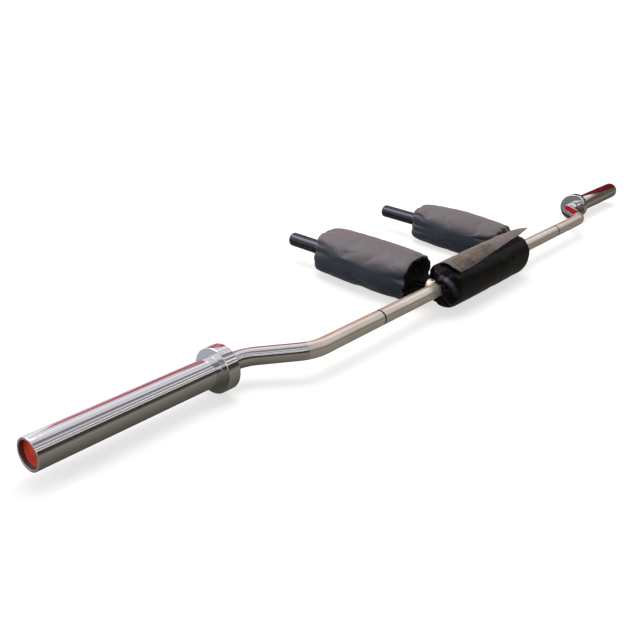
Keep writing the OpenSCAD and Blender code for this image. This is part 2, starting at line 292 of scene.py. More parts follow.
def facing_up(tree, low, high):
    """0 to 1 as the object's own surface normal turns upwards."""
    normal = add(tree, "ShaderNodeTexCoord").outputs["Normal"]
    upwards = add(tree, "ShaderNodeSeparateXYZ", links={0: normal}).outputs["Z"]
    return add(tree, "ShaderNodeMapRange", {"From Min": low, "From Max": high},
               {"Value": upwards}, interpolation_type="SMOOTHSTEP").outputs["Result"]


def woven(name, dark, pale, sheen, roughness, painted_top_light=None, specular=0.4):
    material, tree, shader = new_material(
        name, {"Sheen Weight": sheen, "Sheen Roughness": 0.45, "Specular IOR Level": specular,
               "Sheen Tint": linear("#c9c4c6")})
    cloud = add(tree, "ShaderNodeTexNoise", {"Scale": 22, "Detail": 6, "Roughness": 0.6},
                {"Vector": scaled(tree, (1, 1, 1))}).outputs["Fac"]
    colour = add(tree, "ShaderNodeValToRGB", links={"Fac": cloud},
                 stops=[(0.3, dark), (0.75, pale)]).outputs["Color"]
    # The tuck attribute mixes in a painted highlight standing in for the tuck's gloss.
    tuck = add(tree, "ShaderNodeAttribute", attribute_name="mottle_and_painted_highlight").outputs["Fac"]
    # A pale colour mixed in as the normal turns upwards is painted top light.
    lit_top_mix = [(facing_up(tree, 0.0, 0.72), painted_top_light)] if painted_top_light else []
    for share, cover in lit_top_mix + [(tuck, TUCK_PAINTED_HIGHLIGHT)]:
        colour = add(tree, "ShaderNodeMix", {7: linear(cover)}, {0: share, 6: colour},
                     data_type="RGBA").outputs[2]
    dress(tree, shader, colour, (cloud, roughness - 0.1, roughness + 0.1),
          (weave(tree, WEAVE_PITCH), 0.25, 0.12 * MM))
    return material


def lint_fabric(name, stops, pile_depth):
    material, tree, shader = new_material(
        name, {"Sheen Weight": 0.3, "Sheen Roughness": 0.6, "Roughness": 0.95,
               "Specular IOR Level": 0.15, "Sheen Tint": linear("#cfc4bd")})
    patches = add(tree, "ShaderNodeTexNoise", {"Scale": 70, "Detail": 8, "Roughness": 0.7},
                  {"Vector": scaled(tree, (0.5, 1, 1))}).outputs["Fac"]
    pile = add(tree, "ShaderNodeTexNoise", {"Scale": 900, "Detail": 4, "Roughness": 0.8},
               {"Vector": scaled(tree, (1, 1, 1))}).outputs["Fac"]
    colour = add(tree, "ShaderNodeValToRGB", links={"Fac": patches}, stops=stops)
    dress(tree, shader, colour.outputs["Color"], relief=(pile, 0.6, pile_depth))
    return material


# Its last colour is the painted top light of the lit tops.
charcoal_nylon = woven("coated_nylon_charcoal", "#262c3a", "#343a49", 0.3, 0.55, "#605b5b")
black_nylon = woven("coated_nylon_black", "#030303", "#060605", 0.01, 0.36, specular=0.12)
flap_fabric = lint_fabric("brushed_flap_fabric",
                          [(0.3, "#5b5556"), (0.5, "#676161"), (0.75, "#746e6e")], 0.3 * MM)
lint_tape = lint_fabric("lint_covered_loop_tape",
                        [(0.32, "#30261f"), (0.44, "#564a41"), (0.56, "#6f645b"),
                         (0.7, "#8c8279")], 0.6 * MM)
edge_thread = woven("bonded_sewing_thread", "#6a625c", "#857c74", 0.3, 0.6)
elastic_black = woven("woven_elastic", "#0c0c0e", "#17171a", 0.1, 0.7)
tape_black = woven("hook_and_loop_tape", "#060606", "#0d0d0d", 0.02, 0.7, specular=0.08)

# %% [markdown]
# ## Two shapes that make all the metal
# A lathe turns a profile about an axis, as the real lathe did. A sweep carries a circle
# along the bent centreline, as the tube bender did. Both make closed shells, so each mesh
# could be printed as it stands.

# %% Mesh helpers
LATHE_STEPS = 128


def make_piece(name, vertices, faces, material, crisp=30):
    """A closed mesh piece at the origin, smooth except over edges sharper than crisp."""
    mesh = bpy.data.meshes.new(name)
    mesh.from_pydata([tuple(v) for v in vertices], [], faces)
    built = bmesh.new()
    built.from_mesh(mesh)
    bmesh.ops.remove_doubles(built, verts=built.verts, dist=1e-7)
    bmesh.ops.recalc_face_normals(built, faces=built.faces)
    if built.calc_volume(signed=True) < 0:
        bmesh.ops.reverse_faces(built, faces=built.faces)
    built.to_mesh(mesh)
    built.free()
    mesh.shade_smooth()
    if crisp:
        mesh.set_sharp_from_angle(angle=math.radians(crisp))
    mesh.materials.append(material)
    return placed(name, mesh)


def ring_faces(rings, segments, closed):
    """Quads between rings; closed joins the last ring to the first."""
    faces = []
    for j in range(rings if closed else rings - 1):
        k = (j + 1) % rings
        for i in range(segments):
            n = (i + 1) % segments
            faces.append((j * segments + i, j * segments + n, k * segments + n,
                          k * segments + i))
    return faces


def eased(profile, radius, steps=4, closed=True):
    """A profile whose corners are rounded to radius, or less where its sides are short."""
    points = [np.array(p, float) for p in profile]
    out = []
    for i, corner in enumerate(points):
        if not closed and i in (0, len(points) - 1):
            out.append(corner)
            continue
        before, after = points[i - 1] - corner, points[(i + 1) % len(points)] - corner
        back, ahead = np.linalg.norm(before), np.linalg.norm(after)
        r = min(radius, back / 2.2, ahead / 2.2)
        start, end = corner + before / back * r, corner + after / ahead * r
        for t in np.linspace(0, 1, steps + 1):
            out.append((1 - t) ** 2 * start + 2 * t * (1 - t) * corner + t ** 2 * end)
    return out


def lathe(name, profile, axis, first, second, material):
    """Turns (along, radius) points about the line along axis X or Y through first, second."""
    vertices = []
    for along, r in profile:
        for i in range(LATHE_STEPS):
            angle = 2 * math.pi * i / LATHE_STEPS
            a, b = first + r * math.cos(angle), second + r * math.sin(angle)
            vertices.append((along, a, b) if axis == "X" else (a, along, b))
    closed = profile[0][1] > 0
    return make_piece(name, vertices, ring_faces(len(profile), LATHE_STEPS, closed), material)


def sweep(name, path, radii, material, segments=64, crisp=40):
    """Carries a circle of the given radii along a path and closes both ends."""
    path = np.array(path)
    side = np.array((0.0, 0.0, 1.0))
    vertices = []
    for j, (point, r) in enumerate(zip(path, radii)):
        ahead = path[min(j + 1, len(path) - 1)] - path[max(j - 1, 0)]
        ahead = ahead / np.linalg.norm(ahead)
        side = side - ahead * side.dot(ahead)
        side = side / np.linalg.norm(side)
        across = np.cross(ahead, side)
        for i in range(segments):
            angle = 2 * math.pi * i / segments
            vertices.append(point + r * (math.cos(angle) * side + math.sin(angle) * across))
    faces = ring_faces(len(path), segments, False)
    faces.append(tuple(range(segments))[::-1])
    faces.append(tuple((len(path) - 1) * segments + i for i in range(segments)))
    return make_piece(name, vertices, faces, material, crisp)


def finish_piece(piece, body, slot, *replaced):
    """Attaches a piece to the body it moves with and hides the nodes it stands for; slot is not
    used.
    """
    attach(piece, body)
    if replaced:
        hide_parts(*replaced)
    print(piece.name, "on", body, "faces", len(piece.data.polygons))


def paint_faces(piece, material, test):
    """Gives another material to the faces whose centre passes a test."""
    piece.data.materials.append(material)
    number = len(piece.data.materials) - 1
    for face in piece.data.polygons:
        if test(face.center):
            face.material_index = number


# %% [markdown]
# ## The bent shaft and the cranks
# Shaft and cranks are one centreline: straight, a 38 degree bend, a short straight and the
# bend back. The line is built once for one side and mirrored. The satin finish stops on a
# sharp line three quarters of the way round the first bend, where the chrome begins.

# %% Centreline
BEND_X = 646 * MM
BEND_R = 80 * MM
CRANK_BEND_R = 70 * MM
CRANK_ANGLE = math.radians(38)
BEND_STEPS = 24
SATIN_STEPS = 18
GROOVE_X = 442 * MM
GROOVE_W = 3.6 * MM
GROOVE_DEPTH = 0.8 * MM
SHOULDER_X = 795 * MM
SPINDLE_END = 1123 * MM
SPINDLE_R = 14 * MM

towards_sleeve = Vector((0, SLEEVE_Y - AXIS_Y, SLEEVE_Z - AXIS_Z))
OFFSET = towards_sleeve.length
towards_sleeve.normalize()


def on_crank(x, w):
    """Point at x along the bar, moved w from the shaft axis towards the sleeve axis."""
    return np.array((x, AXIS_Y + towards_sleeve.y * w, AXIS_Z + towards_sleeve.z * w))


groove_line = [(0, SHAFT_R)]
for edge, radius in ((-0.65, SHAFT_R), (-0.5, SHAFT_R - GROOVE_DEPTH),
                     (0.5, SHAFT_R - GROOVE_DEPTH), (0.65, SHAFT_R)):
    groove_line.append((GROOVE_X + edge * GROOVE_W, radius))
satin_line = [on_crank(x, 0) for x, radius in groove_line]
satin_radii = [radius for x, radius in groove_line]
bend_start = BEND_X - BEND_R * math.tan(CRANK_ANGLE / 2)
first_bend = []
for k in range(BEND_STEPS + 1):
    turn = CRANK_ANGLE * k / BEND_STEPS
    first_bend.append(on_crank(bend_start + BEND_R * math.sin(turn),
                               BEND_R * (1 - math.cos(turn))))
satin_line += first_bend[:SATIN_STEPS + 1]
satin_radii += [SHAFT_R] * (SATIN_STEPS + 1)
crank_line = first_bend[SATIN_STEPS:]
bend_end = BEND_X + OFFSET / math.tan(CRANK_ANGLE) + CRANK_BEND_R * math.tan(CRANK_ANGLE / 2)
for k in range(BEND_STEPS + 1):
    turn = CRANK_ANGLE * (1 - k / BEND_STEPS)
    crank_line.append(on_crank(bend_end - CRANK_BEND_R * math.sin(turn),
                               OFFSET - CRANK_BEND_R * (1 - math.cos(turn))))
crank_radii = [SHAFT_R] * len(crank_line)
for x, radius in ((SHOULDER_X, SHAFT_R), (SHOULDER_X + 0.2 * MM, SPINDLE_R),
                  (SPINDLE_END - 1 * MM, SPINDLE_R), (SPINDLE_END, SPINDLE_R - 1 * MM)):
    crank_line.append(on_crank(x, OFFSET))
    crank_radii.append(radius)
mirror = np.array((-1, 1, 1))
shaft = sweep("shaft_satin", [p * mirror for p in satin_line[:0:-1]] + satin_line,
              satin_radii[:0:-1] + satin_radii, nickel, crisp=25)
# The groove's faces get the dark colour of painted shade.
paint_faces(shaft, groove_painted_shade, lambda c: abs(abs(c.x) - GROOVE_X) < 0.66 * GROOVE_W)
finish_piece(shaft, "bar", "satin_steel", "centre_shaft")
for side, sign in SIDES.items():
    crank = sweep("crank_chrome_" + side, [p * (sign, 1, 1) for p in crank_line],
                  crank_radii, chrome)
    finish_piece(crank, "bar", "polished_chrome", "crank_" + side)

# %% [markdown]
# ## Sleeves, collars and end caps
# Each sleeve is a ground tube with an eased rim, and the collar is a thick disc with a
# small lip that holds the sleeve on its shoulder. The cap is pressed 7 mm into the bore,
# so a rim of bare tube shows in front of it. All of them are turned parts.

# %% Sleeves
COLLAR_IN = 790 * MM
COLLAR_OUT = 816 * MM
COLLAR_R = 39.5 * MM
COLLAR_EDGE = 2.0 * MM
COLLAR_HOLE = 16.6 * MM
BORE_R = 21 * MM
SLEEVE_END = sleeve_high.x
CAP_FACE = 7 * MM


def on_sleeve(name, outline, sign, material, **easing):
    """Turns an eased outline about a sleeve's axis, mirrored for the left side."""
    profile = [(sign * x, r) for x, r in eased(outline, **easing)]
    return lathe(name, profile, "X", SLEEVE_Y, SLEEVE_Z, material)


for side, sign in SIDES.items():
    tube = [(sleeve_low.x, BORE_R), (sleeve_low.x, SLEEVE_R - 1 * MM),
            (COLLAR_OUT - 1 * MM, SLEEVE_R - 1 * MM), (COLLAR_OUT - 1 * MM, SLEEVE_R),
            (SLEEVE_END, SLEEVE_R), (SLEEVE_END, BORE_R)]
    sleeve = on_sleeve("sleeve_chrome_" + side, tube, sign, chrome, radius=1.3 * MM)
    paint_faces(sleeve, bore_steel, lambda c: math.hypot(c.y - SLEEVE_Y, c.z - SLEEVE_Z)
                < BORE_R + 0.25 * MM)
    finish_piece(sleeve, "sleeve_" + side, "polished_chrome", "sleeve_" + side)
    disc = [(COLLAR_IN, COLLAR_HOLE), (COLLAR_IN, COLLAR_R), (COLLAR_OUT, COLLAR_R),
            (COLLAR_OUT, SLEEVE_R), (COLLAR_OUT - 0.5 * MM, SLEEVE_R - 0.9 * MM),
            (COLLAR_IN + 3 * MM, SLEEVE_R - 0.9 * MM), (COLLAR_IN + 3 * MM, COLLAR_HOLE)]
    collar = on_sleeve("collar_chrome_" + side, disc, sign, chrome, radius=COLLAR_EDGE, steps=6)
    finish_piece(collar, "sleeve_" + side, "polished_chrome", "collar_" + side)
    face = SLEEVE_END - CAP_FACE
    disc = [(face - 4 * MM, 0), (face - 4 * MM, BORE_R), (face, BORE_R),
            (face, BORE_R - 2.2 * MM), (face - 1.2 * MM, BORE_R - 3 * MM),
            (face - 1.6 * MM, 6 * MM), (face - 0.9 * MM, 4.5 * MM), (face - 0.9 * MM, 0)]
    cap = on_sleeve("end_cap_moulded_" + side, disc, sign, cap_red, radius=0.5 * MM,
                    closed=False)
    finish_piece(cap, "sleeve_" + side, "red_cap", "end_cap_" + side)

# %% [markdown]
# ## Arm tubes and grips
# The arms are satin tubes that leave the shaft at right angles. Most of each is hidden by
# its pad. The grip is a dipped sleeve, open towards the pad and closed over the tip.

# %% Arms
GRIP_R = 16.5 * MM
TIP_ROUND = 9 * MM

for side, sign in SIDES.items():
    low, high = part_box("arm_tube_" + side)
    tube = [(low.y, 0), (low.y, ARM_R), (high.y, ARM_R), (high.y, 0)]
    arm = lathe("arm_tube_satin_" + side, eased(tube, 0.8 * MM, closed=False), "Y",
                sign * ARM_X, AXIS_Z, nickel)
    finish_piece(arm, "bar", "satin_steel", "arm_tube_" + side)
    low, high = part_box("handle_grip_" + side)
    bore = ARM_R + 0.1 * MM
    dip = [(high.y - 3 * MM, 0), (high.y - 3 * MM, bore), (low.y, bore),
           (low.y, GRIP_R - 0.8 * MM), (low.y + 0.8 * MM, GRIP_R)]
    for k in range(13):
        turn = math.pi / 2 * k / 12
        dip.append((high.y - TIP_ROUND + TIP_ROUND * math.sin(turn),
                    GRIP_R - TIP_ROUND + TIP_ROUND * math.cos(turn)))
    dip.append((high.y, 0))
    grip = lathe("grip_dipped_" + side, dip, "Y", sign * ARM_X, AXIS_Z, grip_vinyl)
    finish_piece(grip, "bar", "black_grip", "handle_grip_" + side)

# %% [markdown]
# ## A row of small things along a line
# Stitches and weld ripples are the same idea: one small shape repeated along a path, each
# turned to follow it. A Geometry Nodes tree does that with named inputs for the pitch and
# the size of one item, so a stitch line and a weld bead differ only in their numbers.

# %% Row along a line


def node_group(name, sizes):
    """A Geometry Nodes tree with named number inputs; returns it and its given values."""
    tree = bpy.data.node_groups.new(name, "GeometryNodeTree")
    tree.interface.new_socket("Geometry", in_out="INPUT", socket_type="NodeSocketGeometry")
    for label, value in sizes.items():
        kind = "NodeSocketInt" if isinstance(value, int) else "NodeSocketFloat"
        tree.interface.new_socket(label, in_out="INPUT", socket_type=kind).default_value = value
    tree.interface.new_socket("Geometry", in_out="OUTPUT", socket_type="NodeSocketGeometry")
    return tree, tree.nodes.new("NodeGroupInput").outputs


def end_group(tree, instances, material):
    """Realises the instances, sets their material and ends the tree."""
    real = add(tree, "GeometryNodeRealizeInstances", links={"Geometry": instances})
    dressed = add(tree, "GeometryNodeSetMaterial", {"Material": material},
                  {"Geometry": real.outputs[0]})
    out = tree.nodes.new("NodeGroupOutput")
    tree.links.new(dressed.outputs[0], out.inputs["Geometry"])
    return tree


def row_tree(name, material):
    """A tree that sets small rounded beads along its input curve."""
    tree, given = node_group(name, {"Pitch": 0.004, "Item Length": 0.003,
                                    "Item Width": 0.001, "Size Variation": 0.1, "Seed": 3})
    points = add(tree, "GeometryNodeCurveToPoints",
                 links={"Curve": given["Geometry"], "Length": given["Pitch"]}, mode="LENGTH")
    bead = add(tree, "GeometryNodeMeshUVSphere", {"Segments": 8, "Rings": 6, "Radius": 0.5})
    smooth = add(tree, "GeometryNodeSetShadeSmooth", links={"Geometry": bead.outputs["Mesh"]})
    size = add(tree, "ShaderNodeCombineXYZ",
               links={"X": given["Item Width"], "Y": given["Item Width"],
                      "Z": given["Item Length"]})
    least = add(tree, "ShaderNodeMath", {0: 1.0}, {1: given["Size Variation"]},
                operation="SUBTRACT")
    most = add(tree, "ShaderNodeMath", {0: 1.0}, {1: given["Size Variation"]}, operation="ADD")
    pick = add(tree, "FunctionNodeRandomValue",
               links={2: least.outputs[0], 3: most.outputs[0], "Seed": given["Seed"]},
               data_type="FLOAT")
    varied = add(tree, "ShaderNodeVectorMath",
                 links={0: size.outputs[0], "Scale": pick.outputs[1]}, operation="SCALE")
    row = add(tree, "GeometryNodeInstanceOnPoints",
              links={"Points": points.outputs["Points"], "Instance": smooth.outputs[0],
                     "Rotation": points.outputs["Rotation"], "Scale": varied.outputs[0]})
    return end_group(tree, row.outputs[0], material)


def plain_from(source, tree, name, material, **sizes):
    """Runs a tree on an object and keeps the result as a plain mesh piece."""
    modifier = source.modifiers.new("nodes", "NODES")
    modifier.node_group = tree
    for item in tree.interface.items_tree:
        key = item.name.lower().replace(" ", "_")
        if item.in_out == "INPUT" and key in sizes:
            modifier[item.identifier] = sizes[key]
    graph = bpy.context.evaluated_depsgraph_get()
    mesh = bpy.data.meshes.new_from_object(source.evaluated_get(graph))
    source.modifiers.remove(modifier)
    bpy.data.objects.remove(source)
    mesh.name = name
    mesh.materials.clear()
    mesh.materials.append(material)
    return placed(name, mesh)


def line_object(name, lines, closed=False):
    """A curve object of poly splines through lists of points."""
    data = bpy.data.curves.new(name, "CURVE")
    data.dimensions = "3D"
    for line in lines:
        spline = data.splines.new("POLY")
        spline.points.add(len(line) - 1)
        for point, place in zip(spline.points, line):
            point.co = (*place, 1)
        spline.use_cyclic_u = closed
    return placed(name, data)


# %% [markdown]
# ## The welds
# Each arm is joined to the shaft by a fillet weld. The bead follows the line where the two
# round tubes meet, a saddle, and shows the ripples of the moving puddle. The saddle comes
# from the two radii, and overlapping beads along it give the fillet and its ripples.

# %% Welds
WELD_R = 3.6 * MM
RIPPLE_PITCH = 2.3 * MM


def saddle(sign, grow, steps=96):
    """Points round the line where an arm tube meets the shaft."""
    line = []
    for k in range(steps):
        angle = 2 * math.pi * k / steps
        up = (ARM_R + grow) * math.sin(angle)
        out = math.sqrt((SHAFT_R + grow) ** 2 - up ** 2)
        line.append((sign * ARM_X + (ARM_R + grow) * math.cos(angle), AXIS_Y + out,
                     AXIS_Z + up))
    return line


ripple_tree = row_tree("weld ripples", weld_steel)
for side, sign in SIDES.items():
    weld = plain_from(line_object("weld_line", [saddle(sign, 1.0 * MM)], closed=True),
                      ripple_tree, "weld_bead_" + side, weld_steel, pitch=RIPPLE_PITCH,
                      item_length=2 * WELD_R, item_width=2.1 * WELD_R, size_variation=0.12,
                      seed=4 if side == "left" else 9)
    finish_piece(weld, "bar", "weld_steel", "arm_weld_" + side)

# %% [markdown]
# ## The padded covers
# A cover is a tube of cloth pulled over foam and gathered at both ends by elastic. Where a
# wide tube is drawn into a small ring, the spare cloth stands in folds that run from the
# ring over the shoulder and die out along the side. Each pad starts as a closed grid of
# rings with those folds pressed in by a formula, and a short cloth simulation with pressure
# then gives it the round, tight look of something stuffed.

# %% Pad shapes
PAD_STEPS = 160
RING_PITCH = 4.2 * MM
BORE_RINGS = 16
SLANT_REACH = 50 * MM
# Opening a ring from hole to skin counts as this much length when rings are spaced.
OPEN_SPAN = 40 * MM
FLOOR = 0.4 * MM


def section(angle, half_u, half_v, power):
    """Points of a rounded box section at polar angles."""
    c, s = np.cos(angle), np.sin(angle)
    r = (np.abs(c / half_u) ** power + np.abs(s / half_v) ** power) ** (-1 / power)
    return r * c, r * s


def end_profile(corners, count=24):
    """Even (inwards distance, openness) pairs on a smooth curve along an end's corners."""
    points = np.array(corners, float) * (MM, 1)
    for _ in range(3):
        cut = [points[0]]
        for a, b in zip(points[:-1], points[1:]):
            cut += [0.75 * a + 0.25 * b, 0.25 * a + 0.75 * b]
        points = np.array(cut + [points[-1]])
    place = np.hypot(np.diff(points[:, 0]), OPEN_SPAN * np.diff(points[:, 1])).cumsum()
    place = np.concatenate(([0], place))
    even = np.linspace(0, place[-1], count + 1)[:-1]
    return list(zip(np.interp(even, place, points[:, 0]), np.interp(even, place, points[:, 1])))


def fold_set(seed, count, depth, reach, width):
    """Random folds round an end: angle, width, depth, reach and lean."""
    rng = random.Random(seed)
    return [(2 * math.pi * (k + rng.uniform(-0.3, 0.3)) / count,
             width * rng.uniform(0.75, 1.3), depth * rng.uniform(0.55, 1.2),
             reach * rng.uniform(0.6, 1.5), rng.uniform(-2.5, 2.5)) for k in range(count)]


def fold_height(folds, angle, distance):
    """How far the folds press the cover in at an angle and a distance from the hem."""
    total = np.zeros_like(angle)
    for at, width, depth, reach, lean in folds:
        off = np.angle(np.exp(1j * (angle - at - lean * distance)))
        fade = np.exp(-(distance / reach) ** 2) * np.minimum(1, distance / (7 * MM))
        total -= depth * np.exp(-np.abs(off / width) ** 1.25) * fade
    return total


def pad_grid(spec):
    """Grid of points, rings by steps, of one pad's skin and bore, and its skin rings."""
    angle = np.arange(PAD_STEPS) * 2 * math.pi / PAD_STEPS
    start, end = spec["start"], spec["end"]
    near, far = [corners[-1][0] * MM for corners in spec["ends"]]
    rings = [(start + a, k) for a, k in end_profile(spec["ends"][0])]
    count = round((end - start - near - far) / RING_PITCH)
    rings += [(a, 1.0) for a in np.linspace(start + near, end - far, count + 1)]
    rings += [(end - a, k) for a, k in end_profile(spec["ends"][1])][::-1]
    skin = len(rings)
    rings += [(a, 0.0) for a in np.linspace(rings[-1][0], rings[0][0], BORE_RINGS + 2)[1:-1]]
    along = np.array([a for a, k in rings])
    openness = np.array([k for a, k in rings])[:, None]
    crown = 1 - spec["crown"] * (2 * (along - (start + end) / 2) / (end - start)) ** 2
    across = []
    for shape, turned, hole, middle in (
            (0, np.cos(angle), spec["hole_u"], spec["centre_u"]),
            (1, np.sin(angle), spec["hole_v"], spec["centre_v"])):
        outer = section(angle, spec["half_u"], spec["half_v"],
                        spec["power"] - spec["rounder"] * np.sin(angle))[shape]
        inner = hole + spec["hole_r"] * turned
        across.append(inner + openness * (crown[:, None] * outer + middle - inner))
    arm_side = np.maximum(0, np.cos(angle)) ** 2
    underside = np.maximum(0, -np.sin(angle)) ** 2
    near_end = np.clip(1 - (along - along[0]) / SLANT_REACH, 0, 1)[:, None]
    a = along[:, None] + spec["slant"] * (2 * arm_side + 1.4 * underside - 1) * near_end
    order = (across[0], a, across[1]) if spec["axis"] == "Y" else (a, *across)
    return np.stack(order, axis=-1), skin, angle, openness[:skin]


def grid_normals(grid):
    """Unit normals of a grid of rings, pointing away from its middle."""
    down = np.gradient(grid, axis=0)
    across = (np.roll(grid, -1, axis=1) - np.roll(grid, 1, axis=1)) / 2
    normal = np.cross(down, across)
    normal /= np.maximum(np.linalg.norm(normal, axis=-1, keepdims=True), 1e-12)
    outwards = np.sum(normal * (grid - grid.reshape(-1, 3).mean(axis=0)))
    return normal * np.sign(outwards)


# %% Folds pressed into a pad


def noise_over(surface, scale, shift):
    """Noise at every point of a grid, for waves of about 1 / scale metres."""
    return np.array([[noise.noise(Vector(p) * scale + Vector(shift)) for p in row]
                     for row in surface])


def press_folds(spec, grid, skin, angle, openness):
    """Presses folds, waves, crumples and any tuck into a pad; returns the share of painted
    highlight on the tuck.
    """
    surface = grid[:skin]
    steps = np.linalg.norm(np.diff(surface, axis=0), axis=-1)
    from_start = np.vstack((np.zeros(PAD_STEPS), np.cumsum(steps, axis=0)))
    from_end = from_start[-1] - from_start
    turned = np.repeat(angle[None, :], skin, axis=0)
    height = fold_height(spec["folds"][0], turned, from_start)
    height += fold_height(spec["folds"][1], turned, from_end)
    limit = 0.3 * MM + 25 * MM * openness
    height = limit * np.tanh(height / limit)
    seed = spec["seed"]
    waves = noise_over(surface, 17, (seed, 0, 0)) + 0.45 * noise_over(surface, 42, (0, seed, 0))
    height += spec["waves"] * np.minimum(1, np.minimum(from_start, from_end) / 0.025) * waves
    creases = np.abs(noise_over(surface, 48, (0, 0, seed)))
    height += (spec["crumple"] * openness * np.exp(-(from_start / 0.065) ** 4)
               * (1 - 4 * creases))
    mottle_and_painted_highlight = np.zeros_like(height)
    for at, tall, out, wide, lift in spec.get("tucks", ()):
        off = np.angle(np.exp(1j * (turned - at)))
        place = from_start - out - 0.012 * off
        ridge = np.exp(-(off / tall) ** 4)
        height += lift * ridge * (np.exp(-(place / wide) ** 2)
                                  - 0.8 * np.exp(-(place / wide + 1.9) ** 2))
        # Along the tuck's ridge a share of painted highlight is marked.
        mottle_and_painted_highlight = np.maximum(mottle_and_painted_highlight, ridge * np.exp(-(place / wide - 0.3) ** 4)
                          * np.clip(0.65 + 1.6 * waves, 0, 1))
    grid[:skin] = surface + grid_normals(surface) * height[..., None]
    grid[..., 2] = np.maximum(grid[..., 2], FLOOR)
    return mottle_and_painted_highlight


# %% [markdown]
# ## Filling a pad
# The cloth run is short: pressure from inside, no gravity, hem and bore held still, twenty
# frames. How far a point may move is capped, so the pad keeps its place and its folds, and
# the result is written back into the mesh before one level of subdivision.

# %% Filling
FRAMES = 20


def positions(mesh):
    values = np.empty(len(mesh.vertices) * 3)
    mesh.vertices.foreach_get("co", values)
    return values.reshape(-1, 3)


def fill(piece, held, cap, pressure=4.0):
    """Swells a pad by a short cloth run and writes the result into its mesh."""
    start = positions(piece.data)
    group = piece.vertex_groups.new(name="held")
    group.add(held, 1.0, "REPLACE")
    cloth = piece.modifiers.new("cloth", "CLOTH")
    settings = cloth.settings
    settings.quality = 6
    settings.mass = 0.25
    settings.tension_stiffness = 18
    settings.compression_stiffness = 18
    settings.shear_stiffness = 8
    settings.bending_stiffness = 0.4
    settings.use_pressure = True
    settings.uniform_pressure_force = pressure
    settings.vertex_group_mass = "held"
    settings.effector_weights.gravity = 0
    cloth.collision_settings.use_collision = False
    cloth.point_cache.frame_start = 1
    cloth.point_cache.frame_end = FRAMES
    for number in range(1, FRAMES + 1):
        bpy.context.scene.frame_set(number)
    swollen = piece.evaluated_get(bpy.context.evaluated_depsgraph_get())
    move = positions(swollen.to_mesh()) - start
    swollen.to_mesh_clear()
    piece.modifiers.remove(cloth)
    piece.vertex_groups.remove(group)
    bpy.context.scene.frame_set(1)
    far = np.linalg.norm(move, axis=1, keepdims=True)
    final = start + move * np.minimum(1, cap / np.maximum(far, 1e-9))
    final[:, 2] = np.maximum(final[:, 2], FLOOR)
    piece.data.vertices.foreach_set("co", final.ravel())
    piece.data.update()
    print(piece.name, "moved at most", round(float(far.max()) * 1000, 1), "mm before the cap")


def make_pad(name, spec, material, cap):
    grid, skin, angle, openness = pad_grid(spec)
    mottle_and_painted_highlight = press_folds(spec, grid, skin, angle, openness)
    piece = make_piece(name, grid.reshape(-1, 3), ring_faces(len(grid), PAD_STEPS, True),
                       material, crisp=0)
    # The tuck's painted highlight is stored on the mesh as an attribute.
    values = np.zeros(len(piece.data.vertices), np.float32)
    values[:mottle_and_painted_highlight.size] = mottle_and_painted_highlight.ravel()
    piece.data.attributes.new("mottle_and_painted_highlight", "FLOAT", "POINT").data.foreach_set("value", values)
    rows = [0, 1] + list(range(skin - 2, len(grid)))
    fill(piece, [j * PAD_STEPS + i for j in rows for i in range(PAD_STEPS)], cap)
    smooth = piece.modifiers.new("subdivision", "SUBSURF")
    smooth.levels = smooth.render_levels = 1
    return piece


# %% [markdown]
# ## The three pads
# The near shoulder pad is the fuller one and the far pad is boxier, as foam is after some
# use. The neck pad is a plain round roll with one tuck near its left end, whose gloss is a painted
# highlight.

# %% Pads
ARM_HOLE = 14.3 * MM
NECK_HOLE = 16.3 * MM


def from_shaft(y):
    """Place along an arm of a point given in millimetres from the shaft axis."""
    return AXIS_Y + y * MM


# Corners of an end: distance inwards from the face in mm, and openness from hole to skin.
DRAWN_IN = ((-26, 0.0), (-28, 0.05), (-23, 0.13), (-11, 0.22), (-3, 0.6), (1, 0.97), (16, 1.0),
            (26, 1.0))
TUCKED = ((2, 0.0), (-2, 0.04), (-1.5, 0.2), (1, 0.62), (9, 0.95), (30, 1.0), (38, 1.0))
NECK_NEAR = ((-19, 0.0), (-23, 0.05), (-23, 0.25), (-19, 0.72), (-10, 0.96), (9, 1.0), (21, 1.0))
NECK_FAR = ((1, 0.0), (-4, 0.05), (-4, 0.25), (1, 0.72), (9, 0.95), (24, 1.0), (32, 1.0))


def gathers(seed, count, depth, reach):
    """Deep folds with fine puckers between them."""
    return (fold_set(seed, count, depth, reach, 0.11)
            + fold_set(seed + 1, 2 * count + 3, 0.3 * depth, 0.5 * reach, 0.05))


pad_specs = {
    "left": dict(axis="Y", start=from_shaft(54), end=from_shaft(316), half_u=59 * MM,
                 half_v=52 * MM, centre_v=AXIS_Z + 6.5 * MM, power=3.4, rounder=0.8, crown=0.055,
                 ends=(DRAWN_IN, TUCKED), slant=0, seed=11, waves=1.3 * MM,
                 black_end=5 * MM, crumple=2.6 * MM,
                 folds=(gathers(5, 13, 8 * MM, 56 * MM), gathers(8, 12, 7 * MM, 62 * MM))),
    "right": dict(axis="Y", start=from_shaft(44), end=from_shaft(303), half_u=50.5 * MM,
                  half_v=50.5 * MM, centre_v=AXIS_Z + 2.6 * MM, power=3.4, rounder=0.7, crown=0.09,
                  ends=(DRAWN_IN, TUCKED), slant=0, seed=23, waves=1.5 * MM,
                  black_end=-3 * MM, crumple=2.4 * MM,
                  folds=(gathers(15, 13, 7 * MM, 56 * MM), gathers(18, 12, 6 * MM, 55 * MM))),
}
for side, sign in SIDES.items():
    spec = pad_specs[side]
    spec.update(hole_r=ARM_HOLE, hole_u=sign * ARM_X, hole_v=AXIS_Z, centre_u=sign * ARM_X)
    pad = make_pad("shoulder_pad_" + side, spec, charcoal_nylon, 3.8 * MM)
    edge = spec["start"] + spec["black_end"]
    paint_faces(pad, black_nylon, lambda c: c.y < edge + 5 * MM * noise.noise(c * 40))
    finish_piece(pad, "bar", "charcoal_nylon", "arm_pad_cover_" + side,
                 "arm_pad_foam_" + side)

